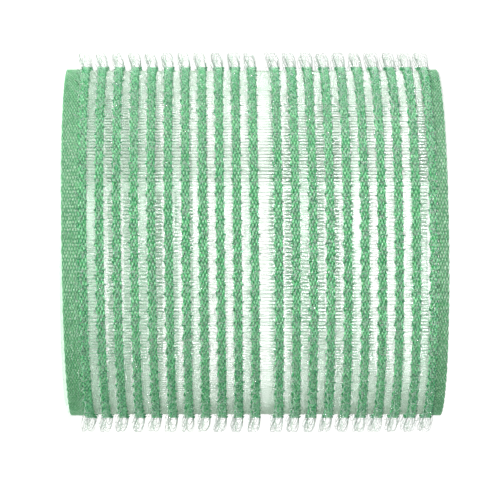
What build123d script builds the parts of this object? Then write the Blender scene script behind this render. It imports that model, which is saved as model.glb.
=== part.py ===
from build123d import *

import os
from math import cos, degrees, radians, sin

# Self-grip hair roller: a slotted plastic core wrapped in a strip of woven hook tape.
# Millimetres. It stands on its lower end face, with its axis along +Z and the origin at the
# centre of that face. Angles are counted about +Z from +X.

# Core: end rims and hoops joined by straight ribs, all one moulding
core_length = 60.0
core_outer_radius = 27.6
core_wall = 1.4
core_inner_radius = core_outer_radius - core_wall
rim_width = 1.5
rim_round = 0.3
hoop_width = 1.25
hoop_pitch = 4.1
hoop_count = 13
first_hoop = 4.9
rib_count = 8
rib_width = 1.3
first_rib_angle = 26.7

# Hook tape: ground cloth between two closely woven selvages
tape_start = 0.4
tape_width = 59.6
tape_end = tape_start + tape_width
cloth_thickness = 0.25
lower_selvage_width = 2.6
upper_selvage_width = 1.65
selvage_thickness = 0.4

# Yarn rows on the ground cloth, and the row of hooks that stands on each
row_count = 21
rows_before_wide_gap = 11
row_pitch = 2.65
wide_gap_pitch = 3.7
row_width = 1.3
row_thickness = 0.4
first_row = tape_start + lower_selvage_width + row_width / 2
hook_height = 2.4
hook_wire = 0.22
hook_count = 48
hook_reach = 0.9

# Lap: the tape's free end is glued down over its start
lap_length = 8.0
lap_centre_angle = 119.4
lap_hook_count = 3
lap_hook_step = 5.0
glue_thickness = 0.1
glue_margin = 0.8

cloth_radius = core_outer_radius + cloth_thickness
row_radius = cloth_radius + row_thickness
lap_rise = glue_thickness + cloth_thickness
lap_half_angle = degrees(lap_length / 2 / cloth_radius)
far_out = 2 * cloth_radius


def row_centre(row):
    """Height of the middle of a yarn row, counted from 0 at the lower end."""
    wide = wide_gap_pitch - row_pitch if row >= rows_before_wide_gap else 0
    return first_row + row * row_pitch + wide


def ring(inner, outer):
    """A ring about the axis, inside the open sketch."""
    Circle(outer)
    Circle(inner, mode=Mode.SUBTRACT)


def lap_sector(mode, margin=0.0):
    """The sector of the open sketch that the lap covers, less a margin along each edge."""
    half = lap_half_angle - degrees(margin / cloth_radius)
    edges = [radians(lap_centre_angle + side * half) for side in (-1, 1)]
    corners = [(far_out * cos(angle), far_out * sin(angle)) for angle in edges]
    Polygon((0, 0), *corners, align=None, mode=mode)


def hook_profile(base_radius):
    """Sketch of one hook, standing out along +X and bent over towards +Y."""
    crook = hook_reach / 2
    neck = base_radius + hook_height - crook
    root = base_radius + hook_wire / 2
    with BuildSketch() as hook:
        with BuildLine():
            outer = ThreePointArc((neck, 0), (neck + crook, crook), (neck, hook_reach))
            tip = Line(outer @ 1, (neck, hook_reach - hook_wire))
            inner = ThreePointArc(tip @ 1, (neck + crook - hook_wire, crook), (neck, hook_wire))
            Polyline(inner @ 1, (root, hook_wire), (root, 0), outer @ 0)
        make_face()
    return hook.sketch


def hook_comb(base_radius, angles, mode):
    """Sketch of a filament that lies round a row and stands up in hooks, facing both ways."""
    hook = hook_profile(base_radius)
    facings = [hook, mirror(hook, about=Plane.XZ)]
    with BuildSketch() as comb:
        ring(base_radius, base_radius + hook_wire)
        lap_sector(mode)
        for place, facing in enumerate(facings):
            with Locations(*[Location((0, 0, 0), (0, 0, angle)) for angle in angles[place::2]]):
                add(facing)
    return comb.sketch


def save(piece, name):
    """Name a finished piece and write its file."""
    piece.label = name
    export_step(piece, f"parts/{name}.step")


os.makedirs("parts", exist_ok=True)

# ---- Core ----
hoop_starts = [first_hoop - hoop_width / 2 + n * hoop_pitch for n in range(hoop_count)]

with BuildPart() as core_tube:
    with BuildSketch(Plane.XY, Plane.XY.offset(core_length - rim_width)):
        ring(core_inner_radius, core_outer_radius)
    extrude(amount=rim_width)
    ends = core_tube.faces().filter_by(Plane.XY)
    end_faces = [ends.sort_by(Axis.Z)[0], ends.sort_by(Axis.Z)[-1]]
    fillet([face.inner_wires()[0].edge() for face in end_faces], rim_round)
    with BuildSketch(*[Plane.XY.offset(start) for start in hoop_starts]):
        ring(core_inner_radius, core_outer_radius)
    extrude(amount=hoop_width)
    with BuildSketch(Plane.XY.offset(rim_width / 2)):
        with PolarLocations(core_inner_radius + core_wall / 2, rib_count, first_rib_angle):
            Rectangle(2 * core_wall, rib_width)
        Circle(core_outer_radius, mode=Mode.INTERSECT)
        Circle(core_inner_radius, mode=Mode.SUBTRACT)
    extrude(amount=core_length - rim_width)
save(core_tube.part, "core_tube")

# ---- Ground cloth and selvages, the first layer of the tape ----
cloth_start = tape_start + lower_selvage_width
cloth_width = tape_width - lower_selvage_width - upper_selvage_width

with BuildPart() as ground_cloth:
    with BuildSketch(Plane.XY.offset(cloth_start)):
        ring(core_outer_radius, cloth_radius)
    extrude(amount=cloth_width)
save(ground_cloth.part, "ground_cloth")

selvages = {
    "selvage_lower": (tape_start, lower_selvage_width),
    "selvage_upper": (tape_end - upper_selvage_width, upper_selvage_width),
}
for name, (start, width) in selvages.items():
    with BuildPart() as selvage:
        with BuildSketch(Plane.XY.offset(start)):
            ring(core_outer_radius, core_outer_radius + selvage_thickness)
            lap_sector(Mode.SUBTRACT)
        extrude(amount=width)
        with BuildSketch(Plane.XY.offset(start)):
            ring(core_outer_radius, cloth_radius)
        extrude(amount=width)
    save(selvage.part, name)

# ---- Yarn rows and hooks round the rest of the roller ----
hook_step = 360 / hook_count
hook_clearance = lap_half_angle + hook_step / 3
hook_angles = [
    n * hook_step
    for n in range(hook_count)
    if abs(n * hook_step - lap_centre_angle) > hook_clearance
]
row_hooks = hook_comb(row_radius, hook_angles, Mode.SUBTRACT)

for row in range(row_count):
    with BuildPart() as yarn_row:
        with BuildSketch(Plane.XY.offset(row_centre(row) - row_width / 2)):
            ring(cloth_radius, row_radius)
            lap_sector(Mode.SUBTRACT)
        extrude(amount=row_width)
        crown = yarn_row.faces().sort_by(SortBy.AREA).filter_by(GeomType.CYLINDER)[-1]
        rims = crown.edges().filter_by(GeomType.CIRCLE)
        fillet(rims, row_thickness * 0.6)
    save(yarn_row.part, f"yarn_row_{row + 1:02}")

    with BuildPart() as hook_row:
        with BuildSketch(Plane.XY.offset(row_centre(row) - hook_wire / 2)):
            add(row_hooks)
        extrude(amount=hook_wire)
    save(hook_row.part, f"hook_row_{row + 1:02}")

# ---- Lap: glue, the flap with its own rows, and the flap's hooks ----
glue_radius = cloth_radius + glue_thickness
flap_radius = cloth_radius + lap_rise

with BuildPart() as lap_glue:
    with BuildSketch(Plane.XY.offset(tape_start + glue_margin)):
        ring(cloth_radius, glue_radius)
        lap_sector(Mode.INTERSECT, glue_margin)
    extrude(amount=tape_width - 2 * glue_margin)
save(lap_glue.part, "lap_glue")

with BuildPart() as lap_flap:
    with BuildSketch(Plane.XY.offset(tape_start)):
        ring(glue_radius, flap_radius)
        lap_sector(Mode.INTERSECT)
    extrude(amount=tape_width)
    for row in range(row_count):
        with BuildSketch(Plane.XY.offset(row_centre(row) - row_width / 2)):
            ring(glue_radius, flap_radius + row_thickness)
            lap_sector(Mode.INTERSECT)
        extrude(amount=row_width)
save(lap_flap.part, "lap_flap")

lap_angles = [
    lap_centre_angle + (n - (lap_hook_count - 1) / 2) * lap_hook_step for n in range(lap_hook_count)
]
flap_hooks = hook_comb(flap_radius + row_thickness, lap_angles, Mode.INTERSECT)

with BuildPart() as lap_hooks:
    for row in range(row_count):
        with BuildSketch(Plane.XY.offset(row_centre(row) - hook_wire / 2)):
            add(flap_hooks)
        extrude(amount=hook_wire)
save(lap_hooks.part, "lap_hooks")
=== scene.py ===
from math import atan2, pi, radians, tau

import bpy
import numpy as np
from mathutils import Euler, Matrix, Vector


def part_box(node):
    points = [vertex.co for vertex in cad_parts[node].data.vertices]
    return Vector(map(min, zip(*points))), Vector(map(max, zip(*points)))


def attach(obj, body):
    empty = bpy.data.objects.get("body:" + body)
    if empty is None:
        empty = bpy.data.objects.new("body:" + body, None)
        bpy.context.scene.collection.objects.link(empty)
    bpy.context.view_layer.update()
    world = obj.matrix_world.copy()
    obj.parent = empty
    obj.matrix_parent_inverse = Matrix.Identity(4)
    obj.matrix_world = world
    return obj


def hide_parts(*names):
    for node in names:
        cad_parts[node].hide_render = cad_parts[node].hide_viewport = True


# Self-grip hair roller. It stands on its lower end, with its axis along +Z. The photograph lays it
# on its side, so the camera is level with the middle of the roller and is rolled a quarter turn.
# Metres. Angles are about +Z from +X, and "across" means along the axis, across the tape.

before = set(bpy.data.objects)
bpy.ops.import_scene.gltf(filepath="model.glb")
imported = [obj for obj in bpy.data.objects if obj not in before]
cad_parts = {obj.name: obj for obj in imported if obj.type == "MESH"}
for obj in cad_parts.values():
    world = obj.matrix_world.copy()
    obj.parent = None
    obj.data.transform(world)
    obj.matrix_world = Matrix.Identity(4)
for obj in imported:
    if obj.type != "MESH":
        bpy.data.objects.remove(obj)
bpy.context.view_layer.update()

MM = 0.001

# ---- Sizes from the frame ----
CORE_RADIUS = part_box("core_tube")[1].x
CORE_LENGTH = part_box("core_tube")[1].z
CLOTH_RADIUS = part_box("ground_cloth")[1].x
ROW_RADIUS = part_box("yarn_row_01")[1].x
HOOK_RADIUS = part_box("hook_row_01")[1].x
TAPE_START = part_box("selvage_lower")[0].z
TAPE_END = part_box("selvage_upper")[1].z
LOWER_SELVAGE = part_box("selvage_lower")[1].z - TAPE_START
UPPER_SELVAGE = TAPE_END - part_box("selvage_upper")[0].z
ROW_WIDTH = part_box("yarn_row_01")[1].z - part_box("yarn_row_01")[0].z
ROW_COUNT = sum(1 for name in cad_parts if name.startswith("yarn_row_"))
ROW_NAMES = [f"{n + 1:02}" for n in range(ROW_COUNT)]
ROW_HEIGHTS = [(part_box(f"yarn_row_{n}")[0].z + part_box(f"yarn_row_{n}")[1].z) / 2 for n in ROW_NAMES]

# ---- The lap: the tape's end goes over its start ----
LAP_LENGTH = 8.0 * MM
LAP_RISE = 0.35 * MM
RAMP_LENGTH = 2.0 * MM
flap_low, flap_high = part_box("lap_flap")
LAP_CENTRE = atan2(flap_low.y + flap_high.y, flap_low.x + flap_high.x)
LAP_START = LAP_CENTRE - LAP_LENGTH / 2 / CLOTH_RADIUS
LAP_END = LAP_CENTRE + LAP_LENGTH / 2 / CLOTH_RADIUS
TAPE_LENGTH = tau * CLOTH_RADIUS + LAP_LENGTH
OUTSIDE_LAP = tau * CLOTH_RADIUS - LAP_LENGTH
# The tape was put on a little askew: it leans to the lower end on one side of the roller
SLANT = 0.33 * MM

# ---- Wefts ----
PICK_PITCH = 0.59 * MM
PICK_POINTS = 18
FILAMENT_RADIUS = 0.085 * MM
FILAMENT_SIDES = 8
# From a pick's middle to each of its two filaments, in filament radii, and how far a filament
# strays from there at each point, as a share of that
FILAMENT_OFFSET = 1.05
FILAMENT_STRAY = 0.12

# ---- Warp yarns ----
YARN_SIDES = 5
# The distance between a yarn's points
YARN_STEP = 0.17 * MM
# How much wider a yarn is over a pick, how far it rises there (as a share of its thickness) and how
# far it sways to and fro (as a share of its width)
YARN_BULGE = 0.22
YARN_CREST = 0.35
YARN_SWAY = 0.12
# Unevenness of a yarn's width and place
WIDTH_SCATTER = 0.03
PLACE_SCATTER = 0.015 * MM
# The painted shade of a yarn half-way up its crests, and its random scatter as a share of the painted
# range
MIDDLE_SHADE = 0.45
SHADE_SCATTER = 0.35
# The shade of every yarn's inner side, painted pale as painted light for the light that comes through
# the far wall from behind, and where that side starts, as the cosine of the angle from straight outward
PAINTED_INNER_LIGHT = 1.5
INNER_SIDE = -0.3

YARNS_IN_ROW = 5
# The share of a row's width that its yarns fill, and each yarn's width as a share of their pitch
ROW_FILL = 0.9
ROW_YARN_OVERLAP = 1.15
ROW_YARN_THICKNESS = 0.4 * MM
# How far a row's painted shade goes up and down along its yarns: lighter on crests, darker in dips
ROW_PAINTED_CREST_SHADE = 0.4
# How far the hooks draw each yarn of a row to the lower end
ROW_PULL = (0.2 * MM, 0.12 * MM, 0.05 * MM, 0.0, 0.0)

SELVAGE_YARN_PITCH = 0.225 * MM
SELVAGE_YARN_OVERLAP = 1.1
SELVAGE_YARN_THICKNESS = 0.24 * MM
# How far the selvage's painted shade goes up and down: lighter on crests, darker in dips
SELVAGE_PAINTED_CREST_SHADE = 0.3

# ---- Hooks ----
HOOK_FILAMENT_RADIUS = 0.07 * MM
HOOK_SIDES = 6
HOOK_POINTS = 19
HOOK_PITCH = 1.27 * MM
# How far below a row's top its hooks start
HOOK_ROOT_DEPTH = 0.15 * MM
HOOK_COUNT = int(OUTSIDE_LAP / HOOK_PITCH)
HOOK_ANGLES = LAP_END + (np.arange(HOOK_COUNT) + 0.5) / HOOK_COUNT * OUTSIDE_LAP / CLOTH_RADIUS
# (across, along, up) of a hook's line. One kind stands on the row's lower edge and leans out over
# the gap; the other stands on the upper edge and bends back over the row.
LOWER_HOOK = np.array([
    (-0.4, -0.5, 0.0), (-0.55, -0.58, 0.6), (-0.85, -0.52, 1.2), (-1.12, -0.25, 1.8),
    (-1.2, 0.1, 2.3), (-1.05, 0.45, 2.62), (-0.75, 0.62, 2.5), (-0.5, 0.66, 2.0),
    (-0.4, 0.62, 1.5), (-0.38, 0.55, 1.1),
]) * MM
UPPER_HOOK = np.array([
    (0.5, 0.15, 0.0), (0.58, 0.12, 0.6), (0.58, 0.05, 1.2), (0.47, 0.0, 1.8),
    (0.2, -0.05, 2.35), (-0.12, -0.05, 2.62), (-0.4, 0.02, 2.55), (-0.57, 0.12, 2.2),
    (-0.63, 0.22, 1.75), (-0.62, 0.3, 1.35),
]) * MM


# ---- Shapes: points on the tape, tubes and pieces ----
def rise(angle):
    """How far the tape stands above its first layer at an angle counted on from the flap's end."""
    climb = RAMP_LENGTH / CLOTH_RADIUS
    share = np.clip((angle - (LAP_START + tau - climb)) / climb, 0, 1)
    return LAP_RISE * share * share * (3 - 2 * share)


def around(radius, angle, across):
    """Points on the tape, from a radius, an angle and a height that broadcast together."""
    radius, angle, across = np.broadcast_arrays(radius, angle, across)
    askew = across + SLANT * np.cos(angle)
    return np.stack([radius * np.cos(angle), radius * np.sin(angle), askew], axis=-1)


def outward(paths):
    """Unit vectors away from the axis at each point."""
    flat = paths * (1, 1, 0)
    return flat / np.linalg.norm(flat, axis=-1, keepdims=True)


def tubes(paths, radius, sides, reference=None, flatten=1.0, tips=False):
    """Vertices, quads and caps of tubes that follow paths of shape (tubes, points, 3).

    The section is an ellipse: its half-width along the reference vectors, which point outward if
    none are given, is the radius times flatten, and it is the radius square to them. With tips,
    the tubes end in small points.
    """
    count, points, _ = paths.shape
    tangent = np.gradient(paths, axis=1)
    tangent /= np.linalg.norm(tangent, axis=-1, keepdims=True)
    reference = outward(paths) if reference is None else reference
    first = reference - (reference * tangent).sum(-1, keepdims=True) * tangent
    first /= np.linalg.norm(first, axis=-1, keepdims=True)
    second = np.cross(tangent, first)
    radius = np.broadcast_to(radius, (count, points)).copy()
    if tips:
        radius[:, 0] *= 0.5
        radius[:, -1] *= 0.5
    turn = (np.arange(sides) / sides * tau)[:, None]
    ring = np.cos(turn) * first[:, :, None] * flatten + np.sin(turn) * second[:, :, None]
    vertices = (paths[:, :, None] + ring * radius[:, :, None, None]).reshape(-1, 3)
    index = np.arange(count * points * sides).reshape(count, points, sides)
    here, there = index[:, :-1], index[:, 1:]
    corners = [here, np.roll(here, -1, axis=2), np.roll(there, -1, axis=2), there]
    quads = np.stack(corners, axis=-1).reshape(-1, 4)
    caps = np.concatenate([index[:, 0, ::-1], index[:, -1]])
    return vertices, quads, caps


def mesh_piece(name, parts, shades):
    """A smooth-shaded object made of sets of tubes, with a shade for each of their vertices."""
    vertices, loops, sizes, base = [], [], [], 0
    for points, quads, caps in parts:
        for faces in (quads, caps):
            loops.append((faces + base).reshape(-1))
            sizes.append(np.full(len(faces), faces.shape[1]))
        vertices.append(points)
        base += len(points)
    vertices, loops, sizes = map(np.concatenate, (vertices, loops, sizes))
    mesh = bpy.data.meshes.new(name)
    mesh.vertices.add(len(vertices))
    mesh.vertices.foreach_set("co", vertices.astype(np.float32).reshape(-1))
    mesh.loops.add(len(loops))
    mesh.loops.foreach_set("vertex_index", loops.astype(np.int32))
    mesh.polygons.add(len(sizes))
    mesh.polygons.foreach_set("loop_start", (np.cumsum(sizes) - sizes).astype(np.int32))
    mesh.polygons.foreach_set("use_smooth", np.ones(len(sizes), bool))
    layer = mesh.attributes.new("shade", "FLOAT", "POINT")
    layer.data.foreach_set("value", np.concatenate(shades).astype(np.float32))
    mesh.update(calc_edges=True)
    mesh.validate()
    piece = bpy.data.objects.new(name, mesh)
    bpy.context.scene.collection.objects.link(piece)
    return piece


def finish_piece(piece, material, node):
    """Gives the piece its material and the root body, and hides the CAD node that it stands for."""
    piece.data.materials.append(material)
    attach(piece, "root")
    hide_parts(node)
    return piece


# ---- Materials ----
PLASTIC_IOR = 1.5
# The scale of the light's way through yarn, and for red, green and blue as shares of it
YARN_DEPTH = 0.5 * MM
YARN_DEPTH_SHARES = (0.7, 1.0, 0.8)


def node_maker(tree):
    """A function that adds a node to a tree, with its settings, and links or sets its inputs."""
    def node(kind, values=(), **settings):
        made = tree.nodes.new(kind)
        for key, value in settings.items():
            setattr(made, key, value)
        for socket, value in dict(values).items():
            if isinstance(value, bpy.types.NodeSocket):
                tree.links.new(value, made.inputs[socket])
            else:
                made.inputs[socket].default_value = value
        return made

    return node


def new_material(name):
    """A material with its Principled shader, its node maker and a function that links to the shader."""
    material = bpy.data.materials.new(name)
    material.use_nodes = True
    tree = material.node_tree
    shader = tree.nodes["Principled BSDF"]

    def link(output, socket):
        tree.links.new(output, shader.inputs[socket])

    return material, shader, node_maker(tree), link


def noise(node, scale, detail):
    """Noise over a material's object coordinates."""
    place = node("ShaderNodeTexCoord").outputs["Object"]
    made = node("ShaderNodeTexNoise", {"Vector": place, "Scale": scale, "Detail": detail})
    return made.outputs["Fac"]


def stored_shade(node):
    """The shade stored at each vertex."""
    return node("ShaderNodeAttribute", attribute_name="shade").outputs["Fac"]


def add_scaled(node, value, factor, rest):
    """The value times the factor, plus the rest."""
    made = node("ShaderNodeMath", {0: value, 1: factor, 2: rest}, operation="MULTIPLY_ADD")
    return made.outputs[0]


def ramp(node, factor, stops):
    """A colour ramp from (place, colour) stops."""
    made = node("ShaderNodeValToRGB", {"Fac": factor})
    while len(made.color_ramp.elements) < len(stops):
        made.color_ramp.elements.new(0.5)
    for element, (place, colour) in zip(made.color_ramp.elements, stops):
        element.position = place
        element.color = (*colour, 1)
    return made.outputs["Color"]


def varied_roughness(node, link, factor, low, high):
    """Roughness between low and high, as the factor goes from 0 to 1."""
    made = node("ShaderNodeMapRange", {"Value": factor, "To Min": low, "To Max": high})
    link(made.outputs["Result"], "Roughness")


def yarn_material(name, dark, middle, light, painted_inner_light):
    """Dyed translucent yarn: the stored shade, which holds painted light and shade, and a little noise
    as colour, and fibres as bump.
    """
    material, shader, node, link = new_material(name)
    mottle = noise(node, scale=900.0, detail=3.0)
    centred = node("ShaderNodeMath", {0: mottle, 1: 0.5}, operation="SUBTRACT").outputs[0]
    mixed = add_scaled(node, centred, 0.4, stored_shade(node))
    # The stored shade, painted light and shade with some random tone, runs up to the pale inner side's
    # value, and a ramp to 1
    scaled = node("ShaderNodeMath", {0: mixed, 1: 0.667}, operation="MULTIPLY").outputs[0]
    stops = [(0.0, dark), (0.333, middle), (0.7, light), (0.95, painted_inner_light)]
    link(ramp(node, scaled, stops), "Base Color")
    fibre = noise(node, scale=9000.0, detail=2.0)
    bump = node("ShaderNodeBump", {"Height": fibre, "Strength": 0.35, "Distance": 0.05 * MM})
    link(bump.outputs["Normal"], "Normal")
    varied_roughness(node, link, mottle, 0.45, 0.7)
    shader.inputs["Specular IOR Level"].default_value = 0.27
    shader.inputs["Subsurface Weight"].default_value = 1.0
    shader.inputs["Subsurface Radius"].default_value = YARN_DEPTH_SHARES
    shader.inputs["Subsurface Scale"].default_value = YARN_DEPTH
    return material


def clear_material(name, low, high, alpha, roughness, scale, painted_flank_shade=None):
    """Clear or tinted plastic that is partly see-through, with faint clouding.

    With a flank colour, that colour shows where the stored shade is 0, as painted shade at the sides of
    a clear filament.
    """
    material, shader, node, link = new_material(name)
    cloud = noise(node, scale, detail=2.0)
    if painted_flank_shade is None:
        link(ramp(node, cloud, [(0.35, low), (0.65, high)]), "Base Color")
    else:
        mixed = add_scaled(node, cloud, 0.4, stored_shade(node))
        link(ramp(node, mixed, [(0.2, painted_flank_shade), (0.9, low), (1.0, high)]), "Base Color")
    varied_roughness(node, link, cloud, roughness, roughness * 1.6)
    shader.inputs["Alpha"].default_value = alpha
    shader.inputs["IOR"].default_value = PLASTIC_IOR
    return material


def hook_material(name, root, tip, alpha):
    """Clear filament, dark at its root as painted shade of the dyed yarn seen through it, and pale
    towards its tip as a painted highlight.
    """
    material, shader, node, link = new_material(name)
    cloud = noise(node, scale=500.0, detail=2.0)
    mixed = add_scaled(node, cloud, 0.3, stored_shade(node))
    link(ramp(node, mixed, [(0.3, root), (0.9, tip)]), "Base Color")
    shader.inputs["Roughness"].default_value = 0.12
    shader.inputs["Alpha"].default_value = alpha
    shader.inputs["IOR"].default_value = PLASTIC_IOR
    return material


# Ramp stops: dark is painted shade, light is painted light on crests and fibres, the last the painted
# pale inner side
ROW_GREEN = yarn_material(
    "row_yarn", (0.012, 0.19, 0.075), (0.035, 0.38, 0.135), (0.34, 0.82, 0.44), (0.62, 0.93, 0.72)
)
SELVAGE_GREEN = yarn_material(
    "selvage_yarn", (0.03, 0.20, 0.09), (0.10, 0.36, 0.17), (0.46, 0.72, 0.50), (0.60, 0.90, 0.68)
)
# The weft's last colour is painted shade at each filament's flanks
WEFT_CLEAR = clear_material(
    "weft_filament", (0.74, 0.90, 0.77), (0.84, 0.95, 0.85), 0.30, 0.15, 700.0, (0.04, 0.24, 0.09)
)
# Hook colours: the dark root is painted shade and the pale tip a painted highlight
HOOK_CLEAR = hook_material("hook_filament", (0.05, 0.22, 0.13), (0.84, 0.95, 0.88), 0.22)
CORE_MINT = clear_material("core_plastic", (0.58, 0.86, 0.68), (0.66, 0.92, 0.76), 0.20, 0.35, 60.0)
GLUE = clear_material("glue", (0.80, 0.88, 0.78), (0.92, 0.96, 0.88), 0.12, 0.4, 300.0)


def dress(node_name, material):
    """Gives a CAD node its finish."""
    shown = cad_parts[node_name]
    shown.data.materials.clear()
    shown.data.materials.append(material)


# ---- Wefts: each pick is two clear filaments side by side, along the roller ----
def picks(angles, lift, seed):
    """Tubes of the picks at these angles, and their shades: 0 at a filament's flanks for painted shade
    there, 1 on top.
    """
    rng = np.random.default_rng(seed)
    across = np.linspace(TAPE_START + FILAMENT_RADIUS, TAPE_END - FILAMENT_RADIUS, PICK_POINTS)
    offset = FILAMENT_OFFSET * FILAMENT_RADIUS / CLOTH_RADIUS
    centre = CORE_RADIUS + (CLOTH_RADIUS - CORE_RADIUS) / 2 + lift
    wander = rng.normal(0, FILAMENT_STRAY * offset, (len(angles), PICK_POINTS)).cumsum(axis=1)
    wander -= wander.mean(axis=1, keepdims=True)
    lines = []
    for side in (-1, 1):
        turn = angles[:, None] + side * offset + wander
        lines.append(around(centre, turn, across[None, :]))
    # Painted shade: each filament is darker at its flanks
    facing = np.abs(np.cos(np.arange(FILAMENT_SIDES) / FILAMENT_SIDES * tau))
    shades = np.tile(facing, len(lines) * len(angles) * PICK_POINTS)
    return tubes(np.concatenate(lines), FILAMENT_RADIUS, FILAMENT_SIDES), shades


def make_wefts():
    """The first layer's picks all round, and the flap's."""
    pick_count = round(tau * CLOTH_RADIUS / PICK_PITCH)
    made, shades = picks(np.arange(pick_count) / pick_count * tau, 0.0, 1)
    piece = mesh_piece("tape_wefts", [made], [shades])
    wefts = finish_piece(piece, WEFT_CLEAR, "ground_cloth")
    flap_count = round(LAP_LENGTH / PICK_PITCH)
    margin = PICK_PITCH / 2 / CLOTH_RADIUS
    angles = np.linspace(LAP_START + margin, LAP_END - margin, flap_count)
    made, shades = picks(angles, LAP_RISE, 2)
    piece = mesh_piece("flap_wefts", [made], [shades])
    flap = finish_piece(piece, WEFT_CLEAR, "lap_flap")
    return wefts, flap


# ---- Warp yarns: each goes over and under the picks ----
def warp(across, radius, width, thickness, phase, rng, painted_crest_shade, pull=0.0):
    """Tubes of one warp yarn and its shades, along the whole tape to the flap's cut end.

    With pull, the yarn is drawn to the lower end by that much at each hook there.
    """
    points = int(TAPE_LENGTH / YARN_STEP)
    angle = LAP_START + np.linspace(0, TAPE_LENGTH / CLOTH_RADIUS, points)
    weave = pi * (angle - LAP_END) * CLOTH_RADIUS / PICK_PITCH + phase
    wave = np.cos(weave)
    bulge = 1 + YARN_BULGE * wave + rng.normal(0, WIDTH_SCATTER, points)
    centre = radius + rise(angle) + YARN_CREST * thickness * wave
    sway = YARN_SWAY * width * np.sin(weave / 2 + rng.uniform(0, tau))
    sway += rng.normal(0, PLACE_SCATTER, points)
    hook = (angle - HOOK_ANGLES[0]) / (HOOK_ANGLES[1] - HOOK_ANGLES[0])
    sway -= pull * np.cos(pi / 2 * hook) ** 4
    path = around(centre, angle, across + sway)[None]
    made = tubes(path, width / 2 * bulge[None], YARN_SIDES, flatten=thickness / width)
    # Painted light and shade: lighter where the yarn crests over a pick, darker where it dips, with
    # random tone
    shade = MIDDLE_SHADE + painted_crest_shade * wave + rng.normal(0, SHADE_SCATTER * painted_crest_shade, points)
    # Painted light: every yarn's inner side takes the pale inner shade instead of its own
    outer = np.cos(np.arange(YARN_SIDES) / YARN_SIDES * tau) > INNER_SIDE
    return made, np.where(outer, shade[:, None], PAINTED_INNER_LIGHT).reshape(-1)


def make_row(number, height):
    """A row of warp yarns, with loose curled fibres and dark stubs of painted shadow at the hooks'
    bases on it.
    """
    rng = np.random.default_rng(100 + number)
    pitch = ROW_FILL * ROW_WIDTH / YARNS_IN_ROW
    width = pitch * ROW_YARN_OVERLAP
    radius = (CLOTH_RADIUS + ROW_RADIUS) / 2
    parts = []
    for yarn in range(YARNS_IN_ROW):
        across = height + (yarn - (YARNS_IN_ROW - 1) / 2) * pitch
        phase = pi * (yarn % 2)
        parts.append(
            warp(across, radius, width, ROW_YARN_THICKNESS, phase, rng, ROW_PAINTED_CREST_SHADE, ROW_PULL[yarn])
        )
    parts.append(curled_fibres(rng, height))
    parts.append(hook_base_shadows(rng, height))
    name = ROW_NAMES[number]
    piece = mesh_piece(f"yarn_weave_{name}", *zip(*parts))
    return finish_piece(piece, ROW_GREEN, f"yarn_row_{name}")


def curled_fibres(rng, height):
    """Short fibres that curl out of a row, as textured yarn does: three in ten dark as painted shade,
    the rest pale as painted glints.
    """
    count, points, sides = 950, 8, 3
    start = LAP_END + rng.uniform(0.01, tau - 0.02, count)[:, None]
    middle = height + rng.uniform(-0.34, 0.34, count)[:, None] * ROW_WIDTH
    sweep = rng.uniform(0.6, 1.5, count)[:, None] * pi * np.linspace(0, 1, points)[None, :]
    heading = rng.uniform(0, tau, count)[:, None] + sweep
    size = rng.uniform(0.12, 0.27, count)[:, None] * MM
    angle = start + size * np.sin(heading) / ROW_RADIUS
    across = middle + size * np.cos(heading)
    lift = rng.uniform(0.0, 0.12, count)[:, None] * MM * np.sin(sweep)
    paths = around(ROW_RADIUS - 0.04 * MM + lift + rise(angle), angle, across)
    # Painted shade on three fibres in ten, painted glints on the rest
    is_painted_shade = rng.random(count) < 0.3
    shade = np.where(is_painted_shade, rng.uniform(-0.2, 0.2, count), rng.uniform(0.9, 1.3, count))
    return tubes(paths, 0.055 * MM, sides, tips=True), np.repeat(shade, points * sides)


def hook_base_shadows(rng, height):
    """Painted shadow: short dark yarn stubs at the hooks' bases, on both edges of a row."""
    points, sides = 5, 5
    angle = HOOK_ANGLES + rng.normal(0, 0.15 * MM, HOOK_COUNT) / CLOTH_RADIUS
    edge = np.where(np.arange(HOOK_COUNT) % 2, 0.52, -0.54) * ROW_WIDTH
    edge += rng.normal(0, 0.04 * MM, HOOK_COUNT)
    along = np.linspace(-0.5, 0.5, points)[None, :]
    turn = rng.uniform(-0.9, 0.9, HOOK_COUNT)[:, None]
    length = rng.uniform(0.2, 0.42, HOOK_COUNT)[:, None] * MM
    lift = 0.1 * MM * (1 - 4 * along ** 2)
    paths = around(
        ROW_RADIUS - 0.02 * MM + lift,
        angle[:, None] + along * length * np.sin(turn) / CLOTH_RADIUS,
        height + edge[:, None] + along * length * np.cos(turn),
    )
    # Painted shadow: the stubs are dark
    shade = rng.uniform(-0.5, 0.1, HOOK_COUNT)
    return tubes(paths, 0.11 * MM, sides, tips=True), np.repeat(shade, points * sides)


def make_selvage(name, start, selvage_width, node):
    """A closely woven edge."""
    rng = np.random.default_rng(len(name) + 7)
    count = round(selvage_width / SELVAGE_YARN_PITCH)
    pitch = selvage_width / count
    width = pitch * SELVAGE_YARN_OVERLAP
    radius = (CORE_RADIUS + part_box(node)[1].x) / 2
    parts = []
    for yarn in range(count):
        across = start + (yarn + 0.5) * pitch
        phase = pi * (yarn % 2)
        parts.append(
            warp(across, radius, width, SELVAGE_YARN_THICKNESS, phase, rng, SELVAGE_PAINTED_CREST_SHADE)
        )
    piece = mesh_piece(name, *zip(*parts))
    return finish_piece(piece, SELVAGE_GREEN, node)


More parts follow.
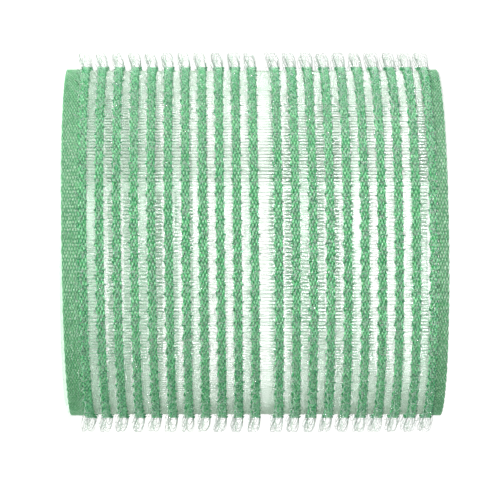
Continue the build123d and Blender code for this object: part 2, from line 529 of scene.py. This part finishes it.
# ---- Hooks ----
def hook_paths(rng, angle, across, base, shape, reach):
    """Paths of hooks of one shape at these angles, from a base radius to its reach at most."""
    count = len(angle)
    fine = np.linspace(0, len(shape) - 1, HOOK_POINTS)
    line = np.stack([np.interp(fine, np.arange(len(shape)), shape[:, k]) for k in range(3)], axis=-1)
    line[1:-1] = (line[:-2] + 2 * line[1:-1] + line[2:]) / 4
    size = rng.normal(1.0, 0.05, (count, 1))
    lean = rng.normal(0.0, 0.06, (count, 1))
    twist = rng.normal(0.0, 0.15, (count, 1))
    x, y, up = (line[None, :, k] * size for k in range(3))
    x = x + lean * up
    turned = x * np.cos(twist) - y * np.sin(twist)
    forward = x * np.sin(twist) + y * np.cos(twist)
    radius = base + np.minimum(up, reach)
    return around(radius, angle[:, None] + forward / radius, across + turned)


def both_kinds(rng, angle, across, base, reach):
    """Paths of a row's hooks at these angles, in turn on its lower and its upper edge."""
    lower = hook_paths(rng, angle[::2], across, base, LOWER_HOOK, reach)
    upper = hook_paths(rng, angle[1::2], across, base, UPPER_HOOK, reach)
    return [lower, upper]


def hook_piece(name, paths, node):
    """A piece of hooks on these paths, with a shade of 0 at each root and 1 at each tip, for painted
    shade at the root and a painted highlight at the tip.
    """
    axis = np.broadcast_to(np.array([0.0, 0.0, 1.0]), paths.shape)
    reference = axis * 0.6 + np.cross(outward(paths), axis)
    made = tubes(paths, HOOK_FILAMENT_RADIUS, HOOK_SIDES, reference=reference)
    shades = np.tile(np.repeat(np.linspace(0, 1, HOOK_POINTS), HOOK_SIDES), len(paths))
    piece = mesh_piece(name, [made], [shades])
    return finish_piece(piece, HOOK_CLEAR, node)


def make_hooks(number, height):
    """The two lines of hooks of one row."""
    rng = np.random.default_rng(500 + number)
    angle = HOOK_ANGLES + rng.normal(0, 0.1 * MM, HOOK_COUNT) / CLOTH_RADIUS
    base = ROW_RADIUS - HOOK_ROOT_DEPTH
    paths = np.concatenate(both_kinds(rng, angle, height, base, HOOK_RADIUS - base))
    name = ROW_NAMES[number]
    return hook_piece(f"hook_filaments_{name}", paths, f"hook_row_{name}")


def make_lap_hooks():
    """The hooks on the flap, all rows in one piece."""
    rng = np.random.default_rng(900)
    count = int(LAP_LENGTH / HOOK_PITCH)
    angle = LAP_START + (np.arange(count) + 0.5) / count * (LAP_END - LAP_START)
    base = ROW_RADIUS + LAP_RISE - HOOK_ROOT_DEPTH
    paths = []
    for height in ROW_HEIGHTS:
        paths += both_kinds(rng, angle, height, base, HOOK_RADIUS - ROW_RADIUS)
    return hook_piece("lap_hook_filaments", np.concatenate(paths), "lap_hooks")


# ---- Camera, light and floor ----
CAMERA_DISTANCE = 0.54
CAMERA_LENS = 240.0
CAMERA_SIDESTEP = 4.1 * MM
AIM = Vector((0.9 * MM, 0.0, CORE_LENGTH / 2 - 0.4 * MM))

LAMP_PLACE = Vector((-0.22, -0.72, 0.03))
LAMP_AIM = Vector((0.0, 0.0, 0.03))
LAMP_SIZE = 0.35
LAMP_POWER = 90.0

# How bright the world is from every side, and how much more from these directions: each lobe has
# its direction, its strength and how tightly it gathers there
WORLD_LEVEL = 0.07
WORLD_SIDES = (
    ((-1, 0, 0), 0.5, 2.0),
    ((-0.1, -1, 0), 3.1, 10.0),
    ((0, 1, 0), 1.2, 3.0),
    ((-0.85, 0.5, 0), 1.8, 4.0),
)
WORLD_LIGHT = (1, 0.995, 0.97, 1)
# The white that the camera sees behind the roller, and that the floor gives off
STUDIO_WHITE = (1, 1, 0.99, 1)
SEEN_LEVEL = 1.08
FLOOR_GLOW = 0.72
FLOOR_HALF_SIZE = 6.0


def make_camera():
    """Level with the roller's middle, rolled so that the roller's axis runs across the picture."""
    data = bpy.data.cameras.new("camera")
    data.lens = CAMERA_LENS
    data.sensor_width = 36.0
    data.clip_start, data.clip_end = 0.01, 20.0
    camera = bpy.data.objects.new("camera", data)
    bpy.context.scene.collection.objects.link(camera)
    camera.location = AIM + Vector((0, -CAMERA_DISTANCE, -CAMERA_SIDESTEP))
    facing = Euler((radians(90) + atan2(CAMERA_SIDESTEP, CAMERA_DISTANCE), 0, 0)).to_matrix()
    camera.rotation_euler = (facing @ Euler((0, 0, radians(90))).to_matrix()).to_euler()
    bpy.context.scene.camera = camera


def make_lamp():
    """A soft square lamp that faces the roller and shows only in its gloss."""
    data = bpy.data.lights.new("gloss", "AREA")
    data.size = LAMP_SIZE
    data.energy = LAMP_POWER
    lamp = bpy.data.objects.new("gloss", data)
    bpy.context.scene.collection.objects.link(lamp)
    lamp.location = LAMP_PLACE
    lamp.visible_diffuse = False
    lamp.visible_transmission = False
    lamp.rotation_euler = (LAMP_AIM - LAMP_PLACE).to_track_quat("-Z", "Y").to_euler()


def make_world():
    """A studio of white walls: brighter on some sides as a light, and plain white to the camera."""
    world = bpy.data.worlds.new("world")
    bpy.context.scene.world = world
    world.use_nodes = True
    world.node_tree.nodes.clear()
    node = node_maker(world.node_tree)
    direction = node("ShaderNodeTexCoord").outputs["Generated"]
    level = WORLD_LEVEL
    for side, strength, gathered in WORLD_SIDES:
        facing = node("ShaderNodeVectorMath", {0: direction, 1: side}, operation="DOT_PRODUCT")
        lit = node("ShaderNodeMath", {0: facing.outputs["Value"], 1: 0.0}, operation="MAXIMUM")
        lobe = node("ShaderNodeMath", {0: lit.outputs[0], 1: gathered}, operation="POWER")
        level = add_scaled(node, lobe.outputs[0], strength, level)
    light = node("ShaderNodeBackground", {"Color": WORLD_LIGHT, "Strength": level})
    seen = node("ShaderNodeBackground", {"Color": STUDIO_WHITE, "Strength": SEEN_LEVEL})
    to_camera = node("ShaderNodeLightPath").outputs["Is Camera Ray"]
    mix = node("ShaderNodeMixShader", {0: to_camera, 1: light.outputs[0], 2: seen.outputs[0]})
    node("ShaderNodeOutputWorld", {"Surface": mix.outputs[0]})


def make_floor():
    """A pale floor, lit so evenly that it runs into the background."""
    material, shader, _, _ = new_material("floor")
    shader.inputs["Base Color"].default_value = (0.9, 0.9, 0.89, 1)
    shader.inputs["Roughness"].default_value = 0.9
    shader.inputs["Emission Color"].default_value = STUDIO_WHITE
    shader.inputs["Emission Strength"].default_value = FLOOR_GLOW
    far = FLOOR_HALF_SIZE
    corners = [(-far, -far, 0), (far, -far, 0), (far, far, 0), (-far, far, 0)]
    mesh = bpy.data.meshes.new("floor")
    mesh.from_pydata(corners, [], [(0, 1, 2, 3)])
    floor = bpy.data.objects.new("floor", mesh)
    bpy.context.scene.collection.objects.link(floor)
    floor.data.materials.append(material)


bpy.context.scene.view_settings.view_transform = "Standard"
bpy.context.scene.cycles.transparent_max_bounces = 32
make_camera()
make_world()
make_floor()
make_lamp()

dress("core_tube", CORE_MINT)
dress("lap_glue", GLUE)
tape_wefts, flap_wefts = make_wefts()
make_selvage("selvage_weave_lower", TAPE_START, LOWER_SELVAGE, "selvage_lower")
make_selvage("selvage_weave_upper", TAPE_END - UPPER_SELVAGE, UPPER_SELVAGE, "selvage_upper")
for number, height in enumerate(ROW_HEIGHTS):
    make_row(number, height)
    make_hooks(number, height)
make_lap_hooks()
